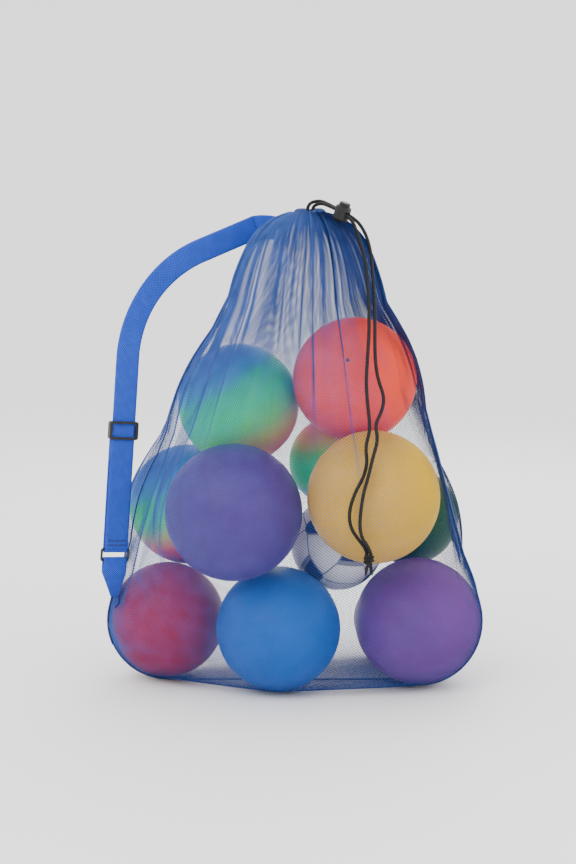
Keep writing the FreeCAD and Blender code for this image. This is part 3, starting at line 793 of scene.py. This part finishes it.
def folded(c, v, plan, tallest, narrow):
    """Moves places on the cloth sideways into pleats, and tells how far each is lifted off the net."""
    places, depth, start = plan
    phase, knots, numbers = pleat_phase(c, places)
    nearest = np.round(phase).astype(int)
    away = phase - nearest
    index = nearest % len(places)
    rise = np.clip((v - start[index]) / (1.02 - start[index]), 0, 1) ** 0.7
    fold = depth[index] * rise
    moved = phase - fold / TAU * np.sin(TAU * away) * np.exp(-((away / narrow) ** 2))
    ridge = (0.5 + 0.5 * np.cos(TAU * away)) ** 1.5
    lift = tallest * np.minimum(fold, 1.6) / 1.6 * ridge
    return np.interp(moved, numbers, knots) % 1.0, lift


def normals(table):
    """The direction out of the net at each place of the table."""
    round_way = np.roll(table, -1, 1) - np.roll(table, 1, 1)
    return unit(np.cross(round_way, np.gradient(table, axis=0)))


def pleated(table, c, v):
    """The net's points, and the directions out of it, at cloth places c round and v up."""
    rows, columns = table.shape[:2]
    c, fine = folded(c, v, FINE_PLEATS, 0.0026, 0.20)
    c, wide = folded(c, v, WIDE_PLEATS, 0.0030, 0.26)
    x = c * columns
    y = np.clip(v, 0, 1) * (rows - 1)
    i = np.minimum(y.astype(int), rows - 2)
    j = np.floor(x).astype(int)
    a = (y - i)[:, None]
    b = (x - j)[:, None]
    j0 = j % columns
    j1 = (j + 1) % columns
    low = table[i, j0] * (1 - b) + table[i, j1] * b
    high = table[i + 1, j0] * (1 - b) + table[i + 1, j1] * b
    point = low * (1 - a) + high * a
    out = normals(table)
    normal = unit(out[i, j0] * (1 - b) + out[i, j1] * b)
    height = (fine + wide) * np.clip((1.03 - v) / 0.1, 0.35, 1)
    return point + normal * height[:, None], normal


def crowding(v):
    """How much thicker the yarns stand where the cloth is gathered: most of all at the hem."""
    gathered = np.clip((v - 0.50) / 0.34, 0, 1)
    hemmed = np.clip((v - 0.80) / 0.20, 0, 1)
    return 1 + 1.25 * eased(gathered) + 0.65 * hemmed**2


def yarns(point, normal, round_way, up_way, step):
    """A ribbon for each yarn that climbs (step 1) or falls (step -1) from one crossing to the next."""
    a, b = np.meshgrid(round_way, up_way, indexing="ij")
    keep = ((a + b) % 2 == 0) & (b + step >= up_way[0]) & (b + step <= up_way[-1])
    a = a[keep]
    b = b[keep]
    to = (a + 1) % CELLS_ROUND
    start, end = point[a, b], point[to, b + step]
    out = unit(normal[a, b] + normal[to, b + step])
    across = unit(np.cross(out, end - start))
    half = (across + out * step) * math.sqrt(0.5) * YARN / 2 * crowding(b / CELLS_UP)[:, None]
    return np.stack([start - half, end - half, end + half, start + half], 1)


def net_panels(table):
    """The knitted net, yarn by yarn, in four pieces: front and back, lower and upper."""
    i, j = np.meshgrid(np.arange(CELLS_ROUND), np.arange(CELLS_UP + 1), indexing="ij")
    point, normal = pleated(table, i.ravel() / CELLS_ROUND, j.ravel() / CELLS_UP)
    point = point.reshape(CELLS_ROUND, CELLS_UP + 1, 3)
    normal = normal.reshape(CELLS_ROUND, CELLS_UP + 1, 3)
    spots, grain = (0.22, 38), (2600, 1, 0.00006)
    material = grained("net_yarn", NET_BLUE, 0.6, spots, grain, Specular_IOR_Level=0.06)
    half_round = CELLS_ROUND // 2
    half_up = CELLS_UP // 2
    for back, upper in ((0, 0), (0, 1), (1, 0), (1, 1)):
        name = "net_" + ("back" if back else "front") + ("_upper" if upper else "_lower")
        round_way = np.arange(back * half_round, (back + 1) * half_round)
        up_way = np.arange(upper * half_up, (upper + 1) * half_up + 1)
        quads = [yarns(point, normal, round_way, up_way, step) for step in (1, -1)]
        corners = np.concatenate(quads).reshape(-1, 3)
        faces = np.arange(len(corners)).reshape(-1, 4)
        obj = mesh_object(name, corners, faces, material, smooth=False)
        piece(obj, "bag", "net")
        if not upper:
            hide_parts("back_panel" if back else "front_panel")


def binding(name, path, out, width, thick, material, replaced, wave):
    """A folded and overlocked seam: a flattened roll that lies on the net along a path."""
    path, marks = resampled(path, 0.002)
    out = unit(read_at(np.linspace(0, 1, len(path)), np.linspace(0, 1, len(out)), out))
    side = unit(np.cross(ahead_along(path), out))
    sides = 14
    angle = np.linspace(0, TAU, sides, endpoint=False)
    ruffle = 1 + wave * np.sin(marks / 0.0061 * TAU / 3) + 0.6 * wave * np.sin(marks / 0.0137 * TAU)
    half = width / 2 * ruffle[:, None] * np.sign(np.cos(angle)) * np.abs(np.cos(angle)) ** 0.6
    lift = thick / 2 * (1 + np.sign(np.sin(angle)) * np.abs(np.sin(angle)) ** 0.6)
    lift = lift * (1 + 0.12 * np.sin(marks[:, None] / 0.0052 * TAU + 2 * angle))
    points = path[:, None] + side[:, None] * half[..., None] + out[:, None] * lift[..., None]
    faces = grid_faces(len(path), sides, True)
    obj = mesh_object(name, points.reshape(-1, 3), faces, material, uv=grid_uv(angle / TAU, marks))
    piece(obj, "bag", "seam_tape", replaced)


def seams(table):
    """The bindings up both sides and under the bag, a little off the net."""
    material = seam_material()
    middle = table.shape[1] // 2
    sides = (("seam_left", 0, "side_seam_left"), ("seam_right", middle, "side_seam_right"))
    for name, column, replaced in sides:
        line = table[:, column]
        outward = unit(np.cross([0.0, -1.0, 0.0], ahead_along(line)))
        outward *= np.sign((outward * (line - [0.02, SEAM_Y, 0.35])).sum(1))[:, None]
        binding(name, line + outward * 0.0004, outward, 0.0075, 0.0030, material, replaced, 0.12)
    bottom = table[0, :middle + 1]
    outward = unit(np.cross(np.gradient(bottom, axis=0), [0.0, 1.0, 0.0]))
    outward *= -np.sign(outward[:, 2:])
    flat = bottom.copy()
    flat[:, 2] = np.maximum(flat[:, 2] - 0.0004, 0.0021)
    binding("seam_bottom", flat, outward, 0.0078, 0.0019, material, "bottom_seam", 0.08)


# ---- the gathered hem

EYELET = np.array([0.025, -0.0222])
EYELET_WIDE = 0.0078  # half its width and half its depth
EYELET_DEEP = 0.0070
# Distance from the mouth's middle, and height, from inside the throat over the top to the outside.
HEM_PROFILE = [
    (0.0090, 0.7510), (0.0088, 0.7560), (0.0092, 0.7610), (0.0104, 0.7645),
    (0.0130, 0.7668), (0.0165, 0.7674), (0.0200, 0.7666), (0.0232, 0.7646),
    (0.0254, 0.7616), (0.0266, 0.7580), (0.0272, 0.7545), (0.0276, 0.7520),
]


def hem():
    """A channel of net, drawn up into pleats round the mouth, with a hole for the eyelet."""
    around = 460
    c = np.arange(around) / around
    away = pleat_phase(c, FINE_PLEATS[0])[0]
    ridge = np.cos(TAU * away)
    rows = []
    for number, (radius, height) in enumerate(HEM_PROFILE):
        share = number / (len(HEM_PROFILE) - 1)
        angle = math.pi + TAU * c + 0.012 * np.sin(TAU * away * 2 + number)
        wave = 0.0011 * math.sin(math.pi * min(1, 0.25 + share)) + 0.0006
        r = radius + wave * ridge * (0.35 + share)
        z = height + 0.0012 * ridge * math.sin(math.pi * min(1, share + 0.15))
        rows.append(np.stack([MOUTH[0] + r * np.cos(angle), MOUTH[1] + r * np.sin(angle), z], -1))
    fine = np.linspace(0, len(rows) - 1, 45)
    flat = read_at(fine, np.arange(len(rows)), np.reshape(rows, (len(rows), -1))).reshape(-1, 3)
    faces = grid_faces(len(fine), around, True)
    centre = flat[faces].mean(1)
    near = np.hypot(centre[:, 0] - EYELET[0], centre[:, 1] - EYELET[1]) < EYELET_WIDE
    inside = near & (centre[:, 2] > 0.756)
    obj = mesh_object("hem_channel", flat, faces[~inside], hem_material())
    piece(obj, "bag", "net", "drawstring_hem")


def eyelet():
    """The stitched rim of the hole that the drawstring leaves the hem by."""
    turn = np.linspace(0, TAU, 60)
    height = 0.7655 - 0.0035 * np.clip(-np.sin(turn), 0, 1)
    x, y = EYELET[0] + EYELET_WIDE * np.cos(turn), EYELET[1] + EYELET_DEEP * np.sin(turn)
    ring = np.column_stack([x, y, height])
    rim = tube("hem_eyelet", ring, 0.0011, seam_material(), overcast, sides=12, step=0.0004)
    piece(rim, "bag", "seam_tape")


# ---- the shoulder strap

WEB_WIDTH = 0.038
WEB_THICK = 0.0018
RETURN_BACK = 0.0091  # from the strap's back to the run that returns behind it
FOOT = Vector((-0.282, -0.056, 0.231))  # the fold above the ring, where the strap's own frame begins
YAW = math.radians(25.5)
TILT = math.radians(4.4)
STRAP = Matrix.Translation(FOOT) @ Matrix.Rotation(YAW, 4, "Z") @ Matrix.Rotation(TILT, 4, "Y")
STRAP_TURN = np.array(STRAP.to_3x3())
ARCH_CORNER = 0.427  # where the arch's two straight parts would meet, and how far it starts from there
ARCH_TANGENT = 0.123
ARCH_SLOPE = math.radians(25.7)
ARCH_REACH = 0.105
GLIDE = 0.190  # height of the adjuster's centre bar
PIN_DEPTH = 2 * WEB_THICK + 0.0018
FOLD_MIDDLE = (RETURN_BACK + WEB_THICK) / 2
RING_TALL = 0.018
TAB_POINT = Vector((-0.289, -0.026, 0.149))
TAB_END_WIDTH = 0.014
STRAP_END = [(-0.0525, 0.0500, 0.7400), (-0.0400, 0.0485, 0.7395), (-0.0275, 0.0460, 0.7370)]


def to_world(points):
    """Points given in the strap's own frame, in the bag's."""
    return np.asarray(points, float) @ STRAP_TURN.T + np.array(STRAP.translation)


def band(name, centre, across, out, width, material, body, replaced=()):
    """Webbing along a centreline: across and out are the directions of its width and its thickness."""
    width = np.broadcast_to(np.asarray(width, float), (len(centre),))
    columns = 15
    share = np.linspace(-1, 1, columns)
    edge = np.where(np.abs(share) > 0.9, 1.12, 1.0)
    half_thick = WEB_THICK / 2 * edge * np.where(np.abs(share) > 0.99, 0.5, 1.0)
    middle = centre[:, None] + across[:, None] * share[None, :, None] * width[:, None, None] / 2
    top = middle + out[:, None] * half_thick[None, :, None]
    bottom = middle - out[:, None] * half_thick[None, :, None]
    loop = np.concatenate([top, bottom[:, ::-1]], 1)
    u = (share + 1) / 2 * WEB_WIDTH
    uv = grid_uv(np.concatenate([u, u[::-1]]), run(centre))
    faces = grid_faces(len(centre), 2 * columns, True)
    ends = []
    for row in (0, len(centre) - 1):
        for k in range(columns - 1):
            a = row * 2 * columns + k
            b = row * 2 * columns + 2 * columns - 1 - k
            quad = [a, a + 1, b - 1, b]
            ends.append(quad if row else quad[::-1])
    obj = mesh_object(name, loop.reshape(-1, 3), np.concatenate([faces, np.array(ends)]), material, uv=uv)
    piece(obj, body, "webbing", *replaced)


def arch_line():
    """The strap's centreline in its own plane: up, round the arch, and on to the mouth."""
    bend = math.pi / 2 - ARCH_SLOPE
    radius = ARCH_TANGENT / math.tan(bend / 2)
    low = ARCH_CORNER - ARCH_TANGENT
    line = [(0, 0, 0), (0, 0, low)]
    for angle in math.pi - np.linspace(0, bend, 61)[1:]:
        line.append((radius + radius * math.cos(angle), 0, low + radius * math.sin(angle)))
    end = np.array(line[-1])
    line.append(tuple(end + np.array([math.cos(ARCH_SLOPE), 0, math.sin(ARCH_SLOPE)]) * ARCH_REACH))
    return resampled(line, 0.004)[0]


def shoulder_strap(material):
    """The strap round its arch, rolled a little on the way down, and its end sewn at the mouth."""
    line = arch_line()
    line[:, 1] = WEB_THICK / 2
    out = np.broadcast_to([0.0, -1.0, 0.0], line.shape)
    across = unit(np.cross(out, ahead_along(line)))
    travel = np.linspace(0, 1, len(line))
    ease = np.clip((travel - 0.45) / 0.4, 0, 1)
    roll = 0.10 * np.sin(ease * math.pi) ** 2
    across_turned = across * np.cos(roll)[:, None] + out * np.sin(roll)[:, None]
    out = out * np.cos(roll)[:, None] - across * np.sin(roll)[:, None]
    across_turned = across_turned @ STRAP_TURN.T
    out = out @ STRAP_TURN.T
    line = to_world(line)
    band("strap_webbing", line, across_turned, out, WEB_WIDTH, material, "strap", ["shoulder_strap"])
    sewn = resampled([line[-1], *STRAP_END], 0.004)[0]
    flat_out = np.repeat(out[-1:], len(sewn), 0)
    bent = unit(np.cross(flat_out, ahead_along(sewn)))
    bent[0] = across_turned[-1]
    band("strap_sewn_part", sewn, bent, flat_out, WEB_WIDTH, material, "bag")


def in_depth(points):
    """A centreline given as (depth, height) pairs across the strap's thickness, with its outward side."""
    line = resampled([(0, y, z) for y, z in points], 0.0015)[0]
    return line, unit(np.cross(ahead_along(line), [1.0, 0.0, 0.0]))


def placed_band(name, line, out, width, material, body, replaced):
    """A band whose line and outward side are given in the strap's own frame."""
    across = np.broadcast_to(STRAP_TURN[:, 0], line.shape)
    band(name, to_world(line), across, out @ STRAP_TURN.T, width, material, body, replaced)


def strap_return(material):
    """The run behind the strap, from the adjuster down to the ring and round it."""
    back = RETURN_BACK + WEB_THICK / 2
    radius = RETURN_BACK / 2
    route = [(back, GLIDE - 0.008), (back + 0.0004, 0.10), (back, 0.03), (back, 0.004)]
    for t in np.linspace(0, math.pi, 24):
        route.append((FOLD_MIDDLE + radius * math.cos(t), -radius * math.sin(t)))
    line, out = in_depth(route)
    placed_band("strap_return_run", line, out, WEB_WIDTH, material, "strap", ["strap_return"])


def strap_end_fold(material):
    """The strap's end, wrapped over the adjuster's centre bar and sewn to itself."""
    radius = 0.0015 + WEB_THICK / 2
    gap = WEB_THICK / 2 + 0.00004
    low = GLIDE - 0.048
    route = [(PIN_DEPTH + gap, low), (PIN_DEPTH + gap, GLIDE - 0.008)]
    for t in np.linspace(-0.75, math.pi + 0.75, 30):
        route.append((PIN_DEPTH + radius * math.cos(t), GLIDE + radius * math.sin(t)))
    route += [(PIN_DEPTH - gap, GLIDE - 0.008), (PIN_DEPTH - gap, low)]
    line, out = in_depth(route)
    placed_band("strap_sewn_end", line, out, WEB_WIDTH, material, "adjuster", ["strap_end_fold"])


def anchor_tab(material):
    """The loop on the ring's lower bar, pinched together on its way to its seam on the bag."""
    tip = np.array(STRAP.inverted() @ TAB_POINT)
    join = -0.038
    for name, side, replaced in (("tab_front", -1, ["anchor_tab"]), ("tab_back", 1, [])):
        radius = RETURN_BACK / 2
        route = [(FOLD_MIDDLE + side * radius * math.sin(t), -RING_TALL + radius * math.cos(t))
                 for t in np.linspace(0, math.pi / 2, 14)]
        route.append((FOLD_MIDDLE + side * radius, -0.028))
        route.append((FOLD_MIDDLE + side * radius * 0.75, join))
        line = [(0, y, z) for y, z in route]
        for share in np.linspace(0.08, 1, 12):
            apart = radius * 0.7 * (1 - eased(share)) + 0.0011
            depth = FOLD_MIDDLE + (tip[1] - FOLD_MIDDLE) * share + side * apart
            line.append((tip[0] * share, depth, join + (tip[2] - join) * share))
        line = resampled(line, 0.0015)[0]
        out = unit(np.cross([1.0, 0, 0], ahead_along(line))) * side
        drop = np.clip((join - line[:, 2]) / (join - tip[2]), 0, 1)
        width = WEB_WIDTH + (TAB_END_WIDTH - WEB_WIDTH) * drop**0.9
        placed_band(name, line, out, width, material, "strap", replaced)


def stitches(name, rows, material, body, replaced=()):
    """Short raised stitches. A row: its ends, the way out of the cloth, how many, how far each leans."""
    points = []
    faces = []
    ring = 6
    thread = 0.00034
    rise = 0.00035
    for start, end, out, count, lean in rows:
        ahead = unit(end - start)
        side = np.cross(out, ahead)
        pitch = np.linalg.norm(end - start) / count
        for k in range(count):
            a = start + ahead * pitch * (k + 0.08) - side * lean / 2
            b = start + ahead * pitch * (k + 0.92) + side * lean / 2
            way = unit(b - a)
            cross = np.cross(way, out)
            for t in np.linspace(0, 1, 7):
                bulge = math.sin(math.pi * t)
                middle = a + (b - a) * t + out * rise * bulge
                radius = thread * (0.35 + 0.65 * bulge)
                for q in range(ring):
                    turn = TAU * q / ring
                    points.append(middle + (cross * math.cos(turn) + out * math.sin(turn)) * radius)
            faces.append(grid_faces(7, ring, True) + len(points) - 7 * ring)
    obj = mesh_object(name, points, np.concatenate(faces), material)
    piece(obj, body, "thread", *replaced)


def strap_stitching():
    """Bartacks above the ring, and a stitched box on the sewn end behind the adjuster."""
    spots, grain = (0.4, 900), (6000, 1, 0.00005)
    material = grained("stitch_thread", (0.012, 0.014, 0.03), 0.6, spots, grain, Sheen_Weight=0.3)
    front = -STRAP_TURN[:, 1]
    rows = []
    for height in (0.0062, 0.0078, 0.0132, 0.0148):
        ends = to_world([(-0.0155, -0.0001, height), (0.0155, -0.0001, height)])
        rows.append((*ends, front, 17, 0.0014))
    stitches("strap_bartack_stitches", rows, material, "strap", ["strap_bartacks"])
    depth = PIN_DEPTH + WEB_THICK + 0.0002
    low, high = GLIDE - 0.043, GLIDE - 0.017
    places = ((-0.014, low), (0.014, low), (0.014, high), (-0.014, high))
    corners = to_world([(x, depth, z) for x, z in places])
    rows = []
    for a, b in ((0, 1), (1, 2), (2, 3), (3, 0), (0, 2), (1, 3)):
        count = max(8, round(math.dist(corners[a], corners[b]) / 0.0026))
        rows.append((corners[a], corners[b], -front, count, 0.0))
    stitches("sewn_end_stitches", rows, material, "adjuster")


def strap():
    """All the webbing and stitching of the strap, and the looks of its hardware and of the lock."""
    material = webbing_material("webbing_weave", WEB_BLUE)
    shoulder_strap(material)
    strap_return(material)
    strap_end_fold(material)
    anchor_tab(material)
    strap_stitching()
    paint("tri_glide", plastic_material("black_acetal", (0.018, 0.018, 0.02)))
    paint("strap_ring", wire_material("black_enamel", (0.02, 0.02, 0.022), 0.3))
    paint("cord_lock_body", plastic_material("lock_acetal", (0.012, 0.0115, 0.011)))
    paint("cord_lock_button", plastic_material("button_acetal", (0.010, 0.0095, 0.009)))
    paint("cord_lock_spring", wire_material("spring_wire", (0.5, 0.5, 0.52), 1.0))


def patches(table):
    """Webbing sewn on the net where the strap starts and where its tab ends, in a darker copy of the
    strap's blue as painted shade.
    """
    material = webbing_material("patch_shaded_weave", PATCH_SHADED_BLUE)
    normal = normals(table).reshape(-1, 3)
    flat = table.reshape(-1, 3)
    lift = 0.0030
    for end, low, high, count, width in (
        ("top", (-0.075, 0.030, 0.722), (0.010, 0.040, 0.738), 40, 0.030),
        ("corner", (-0.302, -0.031, 0.137), (-0.300, 0.008, 0.168), 20, 0.018),
    ):
        a, b = np.array(low), np.array(high)
        line = a + (b - a) * np.linspace(0, 1, count)[:, None]
        nearest = np.argmin(np.linalg.norm(flat[None] - line[:, None], axis=2), 1)
        out = normal[nearest]
        centre = flat[nearest]
        for _ in range(3):
            centre[1:-1] = (centre[:-2] + centre[1:-1] + centre[2:]) / 3
            out = unit(out + np.roll(out, 1, 0) * 0.5)
        centre = centre + out * lift
        across = unit(np.cross(out, ahead_along(centre)))
        band(f"strap_patch_{end}", centre, across, out, width, material, "bag", [f"strap_{end}_patch"])


# ---- the balls


def balls():
    solid = {
        "coral_ball": ((0.92, 0.066, 0.024), 0.45, 0.03, 0.00022),
        "purple_ball_front": ((0.078, 0.034, 0.19), 0.42, 0.05, 0.00016),
        "yellow_ball": ((0.60, 0.34, 0.003), 0.45, 0.03, 0.0002),
        "red_ball": ((0.36, 0.001, 0.002), 0.42, 0.04, 0.00016),
        "blue_ball": ((0.001, 0.10, 0.44), 0.42, 0.05, 0.00018),
        "purple_ball_right": ((0.125, 0.035, 0.22), 0.42, 0.05, 0.00016),
        "violet_ball": ((0.09, 0.025, 0.17), 0.42, 0.04, 0.00016),
        "green_ball": ((0.002, 0.055, 0.022), 0.42, 0.04, 0.00016),
    }
    for name, (color, roughness, coat, pebble) in solid.items():
        paint(name, ball_material(name, color, roughness, coat, pebble).material)
    for place, direction, start, span in (
        ("upper", (0.47, 0.12, -0.87), -1.15, 2.5),
        ("left", (0.45, 0.1, -0.89), -0.95, 1.6),
        ("back", (-0.15, 0.05, 0.98), -1.03, 2.3),
    ):
        name = "rainbow_ball_" + place
        paint(name, rainbow_material(name, direction, start, span))
    paint("soccer_ball", soccer_material("soccer_ball"))
    valve = Nodes("valve_rubber", (0.03, 0.03, 0.035), 0.6)
    valve.bump(valve.noise(2000, 2), 0.00005)
    paint("ball_valves", valve.material)


# ---- the whole scene

camera()
drawstring()
surroundings()
balls()
net = net_table()
net_panels(net)
seams(net)
hem()
eyelet()
strap()
patches(net)
